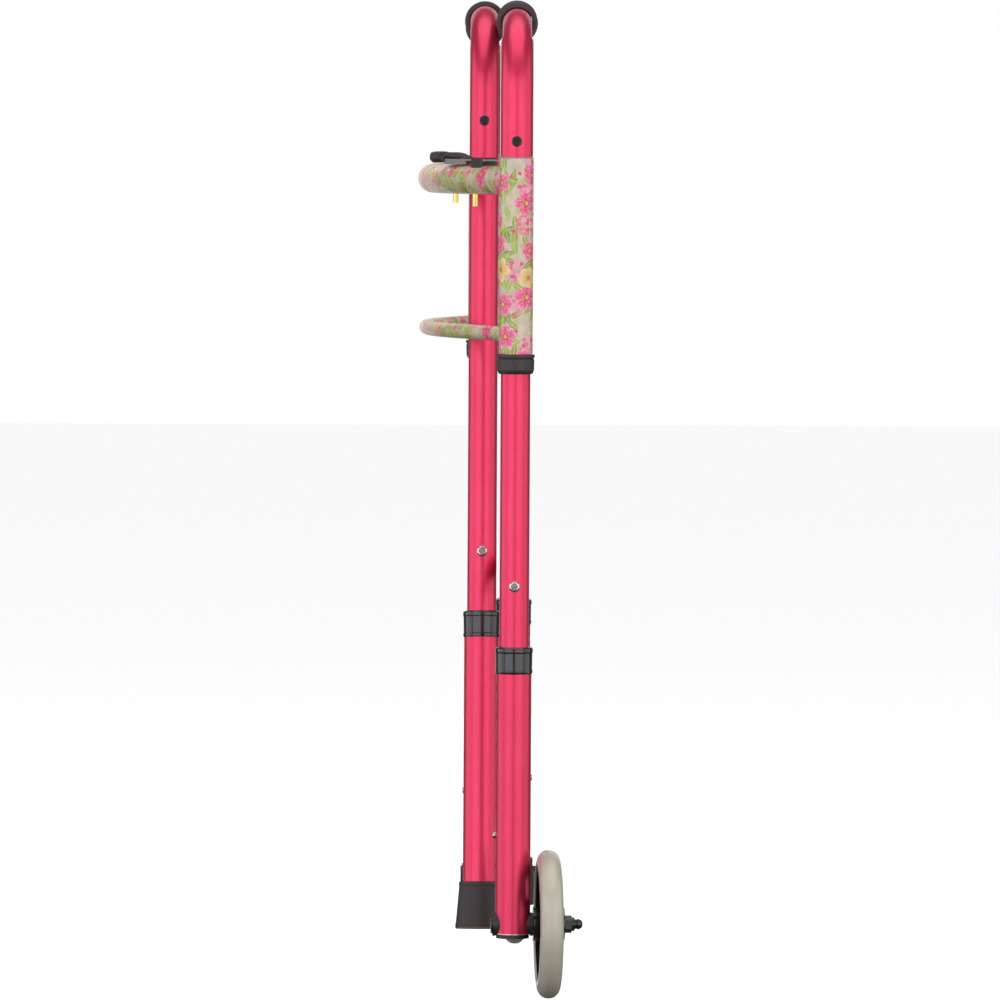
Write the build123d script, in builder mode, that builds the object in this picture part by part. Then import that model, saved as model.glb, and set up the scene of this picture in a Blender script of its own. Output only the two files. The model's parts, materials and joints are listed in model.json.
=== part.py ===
from build123d import *
import os
from math import asin, cos, degrees, radians, sin, tan

# Folding front-wheeled walker, folded flat. Millimetres. +Z up along the pivot legs, +Y to the rear.
# The near side is at +X and the far side at -X. Wheels stand on z = 0.

# Front frame: two upright pivot sleeves joined by two bowed crossbars
pivot_spacing = 500.0  # between the two pivot axes
sleeve_r = 14.55
sleeve_bore_r = 13.3
sleeve_bottom, sleeve_top = 552.0, 719.7
upper_bar_z, upper_bar_r = 700.0, 12.7
lower_bar_z, lower_bar_r = 568.5, 6.35
upper_bow, lower_bow = 59.0, 63.8  # how far each bar's middle stands in front of the pivot axes
bow_angle = 20.0  # each bar leaves its sleeve this much forward of straight across
bar_wall = 1.5
bush_wall = 0.55
bush_length = 22.0

# Side frames: one bent tube each, seen folded across the front frame
tube_r, tube_wall = 12.7, 1.6
frame_gap = 28.2  # between the planes of the two folded side frames
handle_z = 832.8  # centre line where the handle meets the front leg's line
handle_rise = 1.55  # degrees, up towards the rear leg
bend_r = 65.0
rear_leg_angle = 6.0  # degrees, foot further out than the handle
rear_leg_u, rear_leg_ref_z = 350.0, 312.0  # the rear leg's axis passes this far from the pivot axis
post_r, post_turn = 13.95, 47.0  # outer tube on the front leg, from the sleeve to 47 degrees round the bend
collar_bottom, collar_top, collar_r = 534.9, 551.5, 16.3
brace_r, brace_front_z, brace_rear_z = 9.5, 353.5, 375.0
grip_r, grip_flange_r, grip_length = 15.6, 17.8, 150.0
plug_r, plug_height, plug_stem_r = 4.5, 1.2, 3.0
front_plug_z, rear_plug_z = 733.4, 749.7
rivet_r, rivet_height, rivet_stem_r = 4.7, 2.0, 2.4
stem_length, fit_gap = 4.0, 0.1  # stems reach through the wall; the gap keeps heads and stems off the tubes

# Leg extensions, which telescope over the side frame's tubes
outer_r, outer_bore_r = 15.1, 13.1
slip_gap = 0.35
leg_collar_r, leg_collar_length = 16.25, 22.9
front_ext_bottom, front_collar_top, front_tube_end = 55.3, 301.4, 125.0
rear_foot_z, rear_collar_top, rear_tube_end = 48.1, 323.6, 147.0
tip_floor = 8.0  # thickness of the rubber under the rear leg's tube
hole_pitch, holes_below, holes_above, button_r, hole_r = 25.4, 1, 5, 3.1, 3.3
button_above_end = 15.0
button_proud = 2.4

# Wheels
wheel_r, tyre_width, rim_r = 63.5, 20.0, 50.0
wheel_offset = 30.8  # wheel's middle plane behind the front leg's axis
hub_r, hub_width = 14.5, 27.0
axle_r, axle_gap = 4.0, 0.05
nut_length, nut_across = 8.4, 13.0
axle_end = 60.2
head_r, head_from, head_height = 7.9, 17.2, 1.6  # the bolt's head, against the front saddle washer

# Sliding latches on top of the upper crossbar
latch_reach = 13.1  # the tongue's tip stops this far from the pivot axis
tongue_width, tongue_bottom, tongue_top = 12.0, 716.1, 717.7
channel_start, channel_end, channel_width, channel_bottom = 98.0, 142.0, 13.4, 713.1
latch_travel, latch_gap = 6.0, 0.4
pin_place, pin_r, pin_bottom = 90.0, 2.4, 677.0
paddle_start, paddle_end, paddle_half, paddle_top = 100.0, 153.0, 7.8, 723.2
guide_place, guide_length, guide_width, guide_roof = 72.0, 24.0, 14.8, 0.9

# Worked out from the sizes above
turn = degrees(asin(frame_gap / pivot_spacing))
pivot_y = (upper_bow + upper_bar_r - axle_end) / 2  # puts the middle of the footprint on y = 0
sides = {"near": 1, "far": -1}

os.makedirs("parts", exist_ok=True)
made = {}


def save(name, builder):
    builder.part.label = name
    export_step(builder.part, f"parts/{name}.step")
    made[name] = builder.part


def pivot(side, z=0.0):
    return Vector(sides[side] * pivot_spacing / 2, pivot_y, z)


def frame_dir(side):
    """Horizontal direction from the front leg to the rear leg of a folded side frame."""
    return Vector(-cos(radians(turn)), sin(radians(turn)), 0) * sides[side]


def frame_point(side, u, z):
    return pivot(side) + frame_dir(side) * u + Vector(0, 0, z)


def outboard(side):
    """Horizontal normal of the folded side frame that faces outwards when it is opened."""
    return frame_dir(side).cross(Vector(0, 0, 1)) * sides[side]


def rear_axis(side):
    """Unit vector up the rear leg."""
    a = radians(rear_leg_angle)
    return frame_dir(side) * -sin(a) + Vector(0, 0, cos(a))


def rear_point(side, z):
    """Point on the rear leg's axis at height z."""
    u = rear_leg_u + (rear_leg_ref_z - z) * tan(radians(rear_leg_angle))
    return frame_point(side, u, z)


def bar_dir(side):
    a = radians(bow_angle)
    return Vector(-sides[side] * cos(a), -sin(a), 0)


def leg_plane(side, z):
    return Plane(origin=pivot(side, z), x_dir=frame_dir(side), z_dir=(0, 0, 1))


def rear_plane(side, z):
    return Plane(origin=rear_point(side, z), x_dir=outboard(side), z_dir=rear_axis(side))


def across(origin, direction):
    return Plane(origin=origin, z_dir=direction)


def ring(plane, outer, inner, length, mode=Mode.ADD):
    """A plain tube, or a disc or drilled hole where inner is 0, standing on a plane."""
    with BuildSketch(plane) as section:
        Circle(outer)
        if inner:
            Circle(inner, mode=Mode.SUBTRACT)
    extrude(section.sketch, amount=length, mode=mode)


def drill(origin, direction, radius, depth):
    ring(across(origin, direction), radius, 0, depth, mode=Mode.SUBTRACT)


def dome(origin, direction, radius, height, stem_r):
    """Domed head on the outside of a tube, with a stem that goes through the tube's wall."""
    ring(across(origin, direction * -1), stem_r, 0, stem_length)
    ring(across(origin, direction), radius, 0, height)
    fillet(edges().filter_by(GeomType.CIRCLE).sort_by(Axis(origin, direction))[-1], 0.85 * height)


def turned(origin, axis_dir, points):
    """Solid of revolution from (radius, distance along the axis) points."""
    side_dir = Vector(0, 0, 1) if abs(axis_dir.Z) < 0.7 else Vector(1, 0, 0)
    x_dir = (side_dir - axis_dir * side_dir.dot(axis_dir)).normalized()
    with BuildSketch(Plane(origin=origin, x_dir=x_dir, z_dir=x_dir.cross(axis_dir))) as section:
        with BuildLine():
            Polyline(*points, close=True)
        make_face()
    revolve(section.sketch, axis=Axis(origin, axis_dir))


def bow_path(z, bow):
    """Half-points of a bar that leaves each sleeve straight, then curves over to its middle."""
    a = radians(bow_angle)
    half = pivot_spacing / 2
    straight = (bow - half * (1 - cos(a)) / sin(a)) / (tan(a) - (1 - cos(a)) / sin(a))
    ends = [Vector(s * (half - straight), pivot_y - straight * tan(a), z) for s in (1, -1)]
    Line(pivot("near", z), ends[0])
    ThreePointArc(ends[0], Vector(0, pivot_y - bow, z), ends[1])
    Line(ends[1], pivot("far", z))


# Crossbars, coped to the outside of both sleeves
for name, z, r, bow in (
    ("upper_crossbar", upper_bar_z, upper_bar_r, upper_bow),
    ("lower_crossbar", lower_bar_z, lower_bar_r, lower_bow),
):
    with BuildPart() as bar:
        with BuildLine() as route:
            bow_path(z, bow)
        with BuildSketch(Plane(origin=pivot("near", z), z_dir=bar_dir("near"))):
            Circle(r)
            Circle(r - bar_wall, mode=Mode.SUBTRACT)
        sweep(path=route.wires()[0])
        for side in sides:
            with BuildSketch(Plane(origin=pivot(side, z - 40), z_dir=(0, 0, 1))):
                Circle(sleeve_r)
            extrude(amount=80, mode=Mode.SUBTRACT)
            if name == "upper_crossbar":
                slot_mid = pivot(side) + bar_dir(side) * (pin_place + latch_travel / 2)
                with BuildSketch(Plane(origin=slot_mid + Vector(0, 0, pin_bottom), x_dir=bar_dir(side))):
                    SlotCenterToCenter(latch_travel + 1.0, 2 * pin_r + 1.0)
                extrude(amount=50, mode=Mode.SUBTRACT)
    save(name, bar)

handle_u = rear_leg_u + (rear_leg_ref_z - handle_z) * tan(radians(rear_leg_angle))
handle_u /= 1 + tan(radians(handle_rise)) * tan(radians(rear_leg_angle))
handle_end_z = handle_z + handle_u * tan(radians(handle_rise))

for side in sides:
    front = frame_dir(side)
    inner_side = outboard(side) * -1
    leg_up = rear_axis(side)
    rear_out = front * cos(radians(rear_leg_angle)) + Vector(0, 0, sin(radians(rear_leg_angle)))

    # Pivot sleeve with the latch window, and the two bushes inside it
    with BuildPart() as sleeve:
        ring(leg_plane(side, sleeve_bottom), sleeve_r, sleeve_bore_r, sleeve_top - sleeve_bottom)
        with BuildSketch(Plane(origin=pivot(side, tongue_bottom - latch_gap), x_dir=bar_dir(side))):
            with Locations((sleeve_r, 0)):
                Rectangle(2 * sleeve_r, tongue_width + 2 * latch_gap)
        extrude(amount=tongue_top - tongue_bottom + 2 * latch_gap, mode=Mode.SUBTRACT)
    save(f"{side}_pivot_sleeve", sleeve)

    with BuildPart() as bushes:
        for z in (sleeve_bottom, tongue_bottom - 1.5 - bush_length):
            ring(leg_plane(side, z), sleeve_bore_r, sleeve_bore_r - bush_wall, bush_length)
    save(f"{side}_pivot_bushes", bushes)

    # Side frame: one tube bent over the top, with a button hole near each lower end
    brace_from, brace_to = pivot(side, brace_front_z), rear_point(side, brace_rear_z)
    latch_hole_dir = bar_dir(side).rotate(Axis.Z, 90 - turn if side == "near" else -90 - turn)
    handle_rear = frame_point(side, handle_u, handle_end_z)
    rear_end = rear_point(side, rear_tube_end)
    front_button = pivot(side, front_tube_end + button_above_end)
    rear_button = rear_end + leg_up * button_above_end
    with BuildPart() as tube:
        with BuildLine() as route:
            FilletPolyline(pivot(side, front_tube_end), pivot(side, handle_z), handle_rear, rear_end,
                           radius=bend_r)
        with BuildSketch(leg_plane(side, front_tube_end)):
            Circle(tube_r)
            Circle(tube_r - tube_wall, mode=Mode.SUBTRACT)
        sweep(path=route.wires()[0])
        drill(front_button, inner_side, hole_r, 20)
        drill(rear_button, outboard(side), hole_r, 20)
        drill(brace_from, front * -1, rivet_stem_r + fit_gap, 20)
        drill(brace_to, rear_out, rivet_stem_r + fit_gap, 20)
        drill(pivot(side, front_plug_z), front * -1, plug_stem_r + fit_gap, 20)
        drill(rear_point(side, rear_plug_z), rear_out, plug_stem_r + fit_gap, 20)
        # Hole that the latch's tongue drops into once this side is opened
        with BuildSketch(Plane(origin=pivot(side, tongue_bottom - latch_gap), x_dir=latch_hole_dir)) as mouth:
            with Locations((tube_r, 0)):
                Rectangle(2 * tube_r, tongue_width + 2 * latch_gap)
        extrude(mouth.sketch, amount=tongue_top - tongue_bottom + 2 * latch_gap, mode=Mode.SUBTRACT)
    save(f"{side}_side_tube", tube)

    bend_start = handle_z - bend_r * tan(radians((90 - handle_rise) / 2))
    post_bottom = sleeve_top + 0.4
    bend_axis = Axis(pivot(side, bend_start) + front * bend_r, front.cross(Vector(0, 0, -1)))
    with BuildPart() as post:
        ring(leg_plane(side, post_bottom), post_r, tube_r, bend_start - post_bottom)
        with BuildSketch(leg_plane(side, bend_start)) as section:
            Circle(post_r)
            Circle(tube_r, mode=Mode.SUBTRACT)
        revolve(section.sketch, axis=bend_axis, revolution_arc=post_turn)
        drill(pivot(side, front_plug_z), front * -1, plug_stem_r + fit_gap, 20)
    save(f"{side}_post_sleeve", post)

    with BuildPart() as collar:
        height = collar_top - collar_bottom
        turned(pivot(side, collar_bottom), Vector(0, 0, 1), (
            (tube_r, 0), (collar_r - 1.0, 0), (collar_r, 4.0), (collar_r, height - 0.8),
            (collar_r - 0.8, height), (tube_r, height)))
    save(f"{side}_pivot_collar", collar)

    # Hand grip between the bends, with a flange at each end
    handle_dir = (handle_rear - pivot(side, handle_z)).normalized()
    grip_start = (pivot(side, handle_z) + handle_rear) * 0.5 - handle_dir * (grip_length / 2)
    with BuildPart() as grip:
        turned(grip_start, handle_dir, (
            (tube_r, 0), (grip_flange_r - 1, 0), (grip_flange_r, 1), (grip_flange_r, 4), (grip_r, 6),
            (grip_r + 0.6, grip_length / 2), (grip_r, grip_length - 6), (grip_flange_r, grip_length - 4),
            (grip_flange_r, grip_length - 1), (grip_flange_r - 1, grip_length), (tube_r, grip_length)))
    save(f"{side}_handgrip", grip)

    # Brace between the legs, its domed rivets, and the black plugs in the upper legs
    brace_dir = (brace_to - brace_from).normalized()
    with BuildPart() as brace:
        ring(across(brace_from, brace_dir), brace_r, brace_r - bar_wall, (brace_to - brace_from).length)
        ring(leg_plane(side, brace_front_z - 40), tube_r, 0, 80, mode=Mode.SUBTRACT)
        ring(rear_plane(side, brace_rear_z - 40), tube_r, 0, 80, mode=Mode.SUBTRACT)
    save(f"{side}_side_brace", brace)

    with BuildPart() as rivets:
        dome(brace_from - front * (tube_r + fit_gap), front * -1, rivet_r, rivet_height, rivet_stem_r)
        dome(brace_to + rear_out * (tube_r + fit_gap), rear_out, rivet_r, rivet_height, rivet_stem_r)
    save(f"{side}_brace_rivets", rivets)

    with BuildPart() as plugs:
        front_face = pivot(side, front_plug_z) - front * (post_r + fit_gap)
        rear_face = rear_point(side, rear_plug_z) + rear_out * (tube_r + fit_gap)
        dome(front_face, front * -1, plug_r, plug_height, plug_stem_r)
        dome(rear_face, rear_out, plug_r, plug_height, plug_stem_r)
    save(f"{side}_hole_plugs", plugs)

    # Leg extensions: an outer tube with a row of holes, a collar at its top, and a sprung button
    axle_dir = Vector(0, 1, 0)
    legs = (
        ("front", pivot(side, front_ext_bottom), Vector(0, 0, 1), front_collar_top, front_button, inner_side),
        ("rear", rear_point(side, rear_foot_z) + leg_up * tip_floor, leg_up, rear_collar_top, rear_button,
         outboard(side)),
    )
    for end, foot, up, top_z, button_at, button_dir in legs:
        length = (top_z - foot.Z) / up.Z - 2.0
        plane = Plane(origin=foot, x_dir=button_dir, z_dir=up)
        with BuildPart() as extension:
            ring(plane, outer_r, outer_bore_r, length)
            for n in range(-holes_below, holes_above + 1):
                drill(button_at + up * (hole_pitch * n), button_dir, hole_r, 20)
            if end == "front":
                drill(pivot(side, wheel_r) - axle_dir * 20, axle_dir, axle_r + 0.02, 40)
        save(f"{side}_{end}_extension", extension)

        with BuildPart() as collar:
            skirt, lip = leg_collar_length - 2.0, leg_collar_length
            turned(foot + up * (length - skirt), up, (
                (outer_r, 0), (leg_collar_r - 0.3, 0), (leg_collar_r, 0.6), (leg_collar_r, lip - 1.0),
                (leg_collar_r - 1.0, lip), (tube_r + slip_gap, lip), (tube_r + slip_gap, skirt),
                (outer_r, skirt)))
        save(f"{side}_{end}_collar", collar)

        with BuildPart() as button:
            base = tube_r - tube_wall - 1.9
            ring(across(button_at + button_dir * base, button_dir), button_r + 0.6, 0, 1.0)
            ring(across(button_at + button_dir * (base + 1.0), button_dir), button_r, 0,
                 outer_r + button_proud - base - 1.0)
            fillet(edges().filter_by(GeomType.CIRCLE).sort_by(Axis(button_at, button_dir))[-1], 1.6)
        save(f"{side}_{end}_snap_button", button)

    with BuildPart() as tip:
        foot = rear_point(side, rear_foot_z)
        turned(foot, leg_up, (
            (0, 0), (20.6, 0), (21.4, 0.8), (21.4, 6), (18.7, 38), (18.4, 41), (outer_r, 41),
            (outer_r, tip_floor - 0.2), (0, tip_floor - 0.2)))
    save(f"{side}_rubber_tip", tip)

    with BuildPart() as end_plug:
        ring(leg_plane(side, front_ext_bottom - 3.5), outer_r - 1.0, 0, 3.5)
        ring(leg_plane(side, front_ext_bottom), outer_bore_r, outer_bore_r - 1.5, 2.8)
    save(f"{side}_end_plug", end_plug)

    # Axle: bolt through the leg, saddle washers each side of it, nut and rounded end cap
    axle_at = pivot(side, wheel_r)
    hub_front = wheel_offset - hub_width / 2
    hub_back = wheel_offset + hub_width / 2
    with BuildPart() as bolt:
        ring(across(axle_at - axle_dir * head_from, axle_dir), axle_r, 0, head_from + hub_back + nut_length + 1.5)
        ring(across(axle_at - axle_dir * (head_from + head_height), axle_dir), head_r, 0, head_height)
    save(f"{side}_axle_bolt", bolt)
    with BuildPart() as saddles:
        ring(across(axle_at - axle_dir * head_from, axle_dir), 10.0, axle_r + 0.1, 6.0)
        ring(across(axle_at + axle_dir * 10.0, axle_dir), 10.0, axle_r + 0.1, hub_front - 10.3)
        ring(leg_plane(side, wheel_r - 20), outer_r, 0, 40, mode=Mode.SUBTRACT)
    save(f"{side}_axle_saddles", saddles)
    with BuildPart() as nut:
        with BuildSketch(across(axle_at + axle_dir * (hub_back + 0.3), axle_dir)) as hexagon:
            RegularPolygon(nut_across / 2, 6, major_radius=False)
            Circle(axle_r, mode=Mode.SUBTRACT)
        extrude(hexagon.sketch, amount=nut_length - 2.4)
        ring(across(axle_at + axle_dir * (hub_back + nut_length - 2.1), axle_dir), 5.9, axle_r, 2.2)
    save(f"{side}_axle_nut", nut)
    with BuildPart() as cap:
        start = hub_back + nut_length + 0.1
        turned(axle_at + axle_dir * start, axle_dir, (
            (axle_r, 0), (4.5, 0), (4.6, 2.0), (4.2, 3.6), (3.2, 4.9), (1.8, axle_end - start - 0.3),
            (0, axle_end - start), (0, 1.4), (axle_r, 1.4)))
    save(f"{side}_axle_cap", cap)

    # Wheel: soft tyre on a spoked rim, with two bushes in the hub
    wheel_at = axle_at + axle_dir * wheel_offset
    half = tyre_width / 2
    with BuildPart() as tyre:
        across_tyre = Plane(origin=wheel_at, x_dir=(0, 0, 1), z_dir=Vector(0, 0, 1).cross(axle_dir))
        with BuildSketch(across_tyre) as section:
            with BuildLine():
                Line((rim_r, -half + 1.2), (rim_r, half - 1.2))
                Line((rim_r, half - 1.2), (rim_r + 2.5, half))
                Spline((rim_r + 2.5, half), (wheel_r, 0), (rim_r + 2.5, -half),
                       tangents=((1, 0.12), (-1, 0.12)))
                Line((rim_r + 2.5, -half), (rim_r, -half + 1.2))
            make_face()
        revolve(section.sketch, axis=Axis(wheel_at, axle_dir))
    save(f"{side}_tyre", tyre)
    with BuildPart() as rim:
        ring(across(wheel_at - axle_dir * (half - 1.6), axle_dir), rim_r, rim_r - 3.0, tyre_width - 3.2)
        ring(across(wheel_at - axle_dir * 3.0, axle_dir), rim_r - 2.0, hub_r - 2, 6.0)
        ring(across(wheel_at - axle_dir * (hub_width / 2), axle_dir), hub_r, 6.5, hub_width)
        with BuildSketch(across(wheel_at - axle_dir * 10, axle_dir)) as windows:
            with PolarLocations(31.5, 5):
                Circle(10.5)
        extrude(windows.sketch, amount=20, mode=Mode.SUBTRACT)
        ring(across(wheel_at - axle_dir * 20, axle_dir), 6.5, 0, 40, mode=Mode.SUBTRACT)
    save(f"{side}_wheel_rim", rim)
    with BuildPart() as bearings:
        for d in (-hub_width / 2, hub_width / 2 - 9):
            ring(across(wheel_at + axle_dir * d, axle_dir), 6.5, axle_r + axle_gap, 9)
    save(f"{side}_wheel_bushes", bearings)

    # Sliding latch: flat tongue, raised channel, palm paddle, guide pin and the guide it runs in
    along = bar_dir(side)
    with BuildPart() as slide:
        with BuildSketch(Plane(origin=pivot(side, tongue_bottom), x_dir=along)) as tongue:
            with Locations(((latch_reach + channel_end) / 2, 0)):
                Rectangle(channel_end - latch_reach, tongue_width)
        extrude(tongue.sketch, amount=tongue_top - tongue_bottom)
        with BuildSketch(Plane(origin=pivot(side, channel_bottom), x_dir=along)) as channel:
            with Locations(((channel_start + channel_end) / 2, 0)):
                Rectangle(channel_end - channel_start, channel_width)
                Rectangle(channel_end - channel_start, channel_width - 3.0, mode=Mode.SUBTRACT)
        extrude(channel.sketch, amount=tongue_top - channel_bottom)
        ring(Plane(origin=pivot(side, 700) + along * pin_place), pin_r, 0, 40, mode=Mode.SUBTRACT)
    save(f"{side}_latch_slide", slide)
    with BuildPart() as pin:
        ring(Plane(origin=pivot(side, pin_bottom) + along * pin_place), pin_r, 0, tongue_top - pin_bottom)
        ring(Plane(origin=pivot(side, tongue_top) + along * pin_place), 3.6, 0, 0.9)
    save(f"{side}_latch_pin", pin)
    with BuildPart() as paddle:
        with BuildSketch(Plane(origin=pivot(side, tongue_top) + along * paddle_start, x_dir=along,
                               z_dir=along.cross(Vector(0, 0, 1)))) as outline:
            span, rise = paddle_end - paddle_start, paddle_top - tongue_top
            neck, drop = channel_end + 0.3 - paddle_start, channel_bottom + 0.3 - tongue_top
            with BuildLine():
                Polyline((0, 1.0), (0, 0), (neck, 0), (neck, drop), (span - 2.5, drop), (span, drop + 2.5),
                         (span, 0.5))
                Spline((span, 0.5), (span * 0.68, rise), (0, 1.0), tangents=((-0.3, 1), (-1, -0.1)))
            make_face()
        extrude(outline.sketch, amount=paddle_half, both=True)
    save(f"{side}_latch_paddle", paddle)
    with BuildPart() as guide:
        guide_z = upper_bar_z + 8
        place = Plane(origin=pivot(side, guide_z) + along * guide_place, x_dir=along)
        with BuildSketch(place) as block:
            RectangleRounded(guide_length, guide_width, 2)
        extrude(block.sketch, amount=tongue_top + latch_gap + guide_roof - guide_z)
        with BuildSketch(place.offset(tongue_bottom - latch_gap - guide_z)) as passage:
            Rectangle(40, tongue_width + 2 * latch_gap)
        extrude(passage.sketch, amount=tongue_top - tongue_bottom + 2 * latch_gap, mode=Mode.SUBTRACT)
        ring(across(pivot(side, upper_bar_z) + along * 40, along), upper_bar_r, 0, 60, mode=Mode.SUBTRACT)
    save(f"{side}_latch_guide", guide)

box = Compound(children=list(made.values())).bounding_box()
print(len(made), "parts", box.min, box.max, "turn", round(turn, 3), "pivot_y", round(pivot_y, 3))
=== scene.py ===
import json
import math
import bmesh
import bpy
import numpy as np
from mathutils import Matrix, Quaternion, Vector


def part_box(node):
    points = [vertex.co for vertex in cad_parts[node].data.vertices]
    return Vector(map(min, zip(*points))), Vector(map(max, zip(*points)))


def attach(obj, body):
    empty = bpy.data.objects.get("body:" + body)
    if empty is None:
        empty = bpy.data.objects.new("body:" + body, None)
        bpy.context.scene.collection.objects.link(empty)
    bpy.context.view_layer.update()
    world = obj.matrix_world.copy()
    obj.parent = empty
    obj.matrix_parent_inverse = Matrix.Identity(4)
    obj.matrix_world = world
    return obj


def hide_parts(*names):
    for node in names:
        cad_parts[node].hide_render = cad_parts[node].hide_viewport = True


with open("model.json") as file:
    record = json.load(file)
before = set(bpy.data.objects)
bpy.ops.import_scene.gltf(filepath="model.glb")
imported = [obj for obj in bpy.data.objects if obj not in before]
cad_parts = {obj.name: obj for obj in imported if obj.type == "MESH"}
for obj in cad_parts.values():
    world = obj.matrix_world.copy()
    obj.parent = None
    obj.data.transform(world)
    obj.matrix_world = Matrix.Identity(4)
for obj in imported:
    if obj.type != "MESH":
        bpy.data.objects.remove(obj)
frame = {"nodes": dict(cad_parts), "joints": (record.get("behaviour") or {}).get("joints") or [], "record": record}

for spare in ("Cube", "Light", "Camera"):  # the start-up file's own objects
    if spare in bpy.data.objects:
        bpy.data.objects.remove(bpy.data.objects[spare])
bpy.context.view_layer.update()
nodes, record = frame["nodes"], frame["record"]
joints = {j["name"]: j for j in frame["joints"]}
mounts = {m["name"]: m for m in record["mounts"]}
sides = ("near", "far")
print("frame loaded:", len(nodes), "nodes")


def middle(node):
    low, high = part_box(node)
    return np.array((low + high) / 2)


def unit(v):
    v = np.array(v, float)
    return v / np.linalg.norm(v)


pivotAt = {side: np.array(joints[f"{side}_side_fold"]["pos_m"]) for side in sides}
legUp = {side: -unit(joints[f"{side}_rear_leg_height"]["axis"]) for side in sides}
acrossFrame = {side: unit((-legUp[side][0], -legUp[side][1], 0)) for side in sides}  # front leg to rear leg
alongBar = {side: unit(joints[f"{side}_latch_slide"]["axis"]) for side in sides}
wheelDir = np.array((0.0, 1.0, 0.0))
upright = np.array((0.0, 0.0, 1.0))


def softened(points, radius, steps=4):
    # a quadratic curve replaces each corner of a closed outline, from and to points up to radius away
    p = np.array(points, float)
    before, after = np.roll(p, 1, 0) - p, np.roll(p, -1, 0) - p
    lenBefore, lenAfter = (np.linalg.norm(d, axis=1, keepdims=True) for d in (before, after))
    most = 0.45  # the largest part of a side that one curve takes
    a = p + before / lenBefore * np.minimum(radius, most * lenBefore)
    c = p + after / lenAfter * np.minimum(radius, most * lenAfter)
    t = np.linspace(0, 1, steps)[None, :, None]
    curve = (1 - t) ** 2 * a[:, None] + 2 * t * (1 - t) * p[:, None] + t ** 2 * c[:, None]
    return curve.reshape(-1, 2)


def gridPiece(name, points, body, replaced, material, closedRows=True):
    # points is a rows x columns x 3 grid; columns always wrap round, rows wrap round when closedRows
    rows, columns = points.shape[:2]
    i = np.arange(rows if closedRows else rows - 1)[:, None]
    j = np.arange(columns)[None, :]
    iNext, jNext = (i + 1) % rows, (j + 1) % columns
    faces = np.stack([i * columns + j, i * columns + jNext, iNext * columns + jNext, iNext * columns + j], -1)
    faces = faces.reshape(-1, 4)
    mesh = bpy.data.meshes.new(name)
    mesh.vertices.add(rows * columns)
    mesh.vertices.foreach_set("co", points.astype(np.float32).ravel())
    mesh.loops.add(faces.size)
    mesh.loops.foreach_set("vertex_index", faces.ravel().astype(np.int32))
    mesh.polygons.add(len(faces))
    mesh.polygons.foreach_set("loop_start", np.arange(0, faces.size, 4, dtype=np.int32))
    mesh.update(calc_edges=True)
    cleaned = bmesh.new()
    cleaned.from_mesh(mesh)
    bmesh.ops.remove_doubles(cleaned, verts=cleaned.verts, dist=2e-6)
    bmesh.ops.dissolve_degenerate(cleaned, edges=cleaned.edges, dist=1e-7)
    bmesh.ops.recalc_face_normals(cleaned, faces=cleaned.faces)
    cleaned.to_mesh(mesh)
    cleaned.free()
    mesh.polygons.foreach_set("use_smooth", np.ones(len(mesh.polygons), bool))
    mesh.materials.append(material)
    piece = bpy.data.objects.new(name, mesh)
    bpy.context.scene.collection.objects.link(piece)
    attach(piece, body)
    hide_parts(*replaced)
    return piece


def directions(axis):
    # two unit vectors square to the axis and to each other
    lean = np.dot(upright, axis)
    steep = abs(lean) >= 0.9
    first = unit(np.cross(axis, (0, 1, 0))) if steep else unit(upright - axis * lean)
    return first, np.cross(axis, first)


def turnedGrid(profile, origin, axis, segments, radiusAt=None):
    # point = origin + axis * height + (cos a * first + sin a * second) * radius
    # radiusAt(radius, height, a), where it is given, changes the radius
    profile = np.array(profile)
    first, second = directions(axis)
    a = np.linspace(0, 2 * math.pi, segments, endpoint=False)[None, :]
    radius = profile[:, 0][:, None] + 0 * a
    height = profile[:, 1][:, None] + 0 * a
    if radiusAt:
        radius = radiusAt(radius, height, a)
    ring = np.cos(a)[..., None] * first + np.sin(a)[..., None] * second
    return origin + axis * height[..., None] + ring * radius[..., None]


def linear(red, green, blue):
    # screen colour, 0 to 255, to the shader's own scale
    c = np.array((red, green, blue)) / 255
    return (*np.where(c <= 0.04045, c / 12.92, ((c + 0.055) / 1.055) ** 2.4), 1.0)


def put(tree, socket, value):
    if isinstance(value, bpy.types.NodeSocket):
        tree.links.new(value, socket)
    else:
        socket.default_value = value


def node(tree, kind, settings=None, **inputs):
    made = tree.nodes.new("ShaderNode" + kind)
    for key, value in (settings or {}).items():
        setattr(made, key, value)
    for key, value in inputs.items():
        put(tree, made.inputs[key.replace("_", " ")], value)
    return made


def sums(tree, operation, *values, clamp=False):
    made = node(tree, "Math", {"operation": operation, "use_clamp": clamp})
    for socket, value in zip(made.inputs, values):
        put(tree, socket, value)
    return made.outputs[0]


def vectors(tree, operation, *values):
    made = node(tree, "VectorMath", {"operation": operation})
    for socket, value in zip(made.inputs, values):
        put(tree, socket, value)
    return made.outputs["Value" if operation in ("LENGTH", "DOT_PRODUCT") else "Vector"]


def mixed(tree, amount, under, over):
    made = node(tree, "Mix", {"data_type": "RGBA"})
    for index, value in ((0, amount), (6, under), (7, over)):
        put(tree, made.inputs[index], value)
    return made.outputs[2]


def ramped(tree, amount, stops):
    made = node(tree, "ValToRGB", None, Fac=amount)
    ramp = made.color_ramp
    for n, (place, colour) in enumerate(stops):
        stop = ramp.elements[n] if n < 2 else ramp.elements.new(place)
        stop.position, stop.color = place, colour
    return made.outputs[0]


def ranged(tree, value, low, high, newLow, newHigh):
    made = node(tree, "MapRange", None, Value=value)
    for key, number in (("From Min", low), ("From Max", high), ("To Min", newLow), ("To Max", newHigh)):
        made.inputs[key].default_value = number
    return made.outputs[0]


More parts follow.
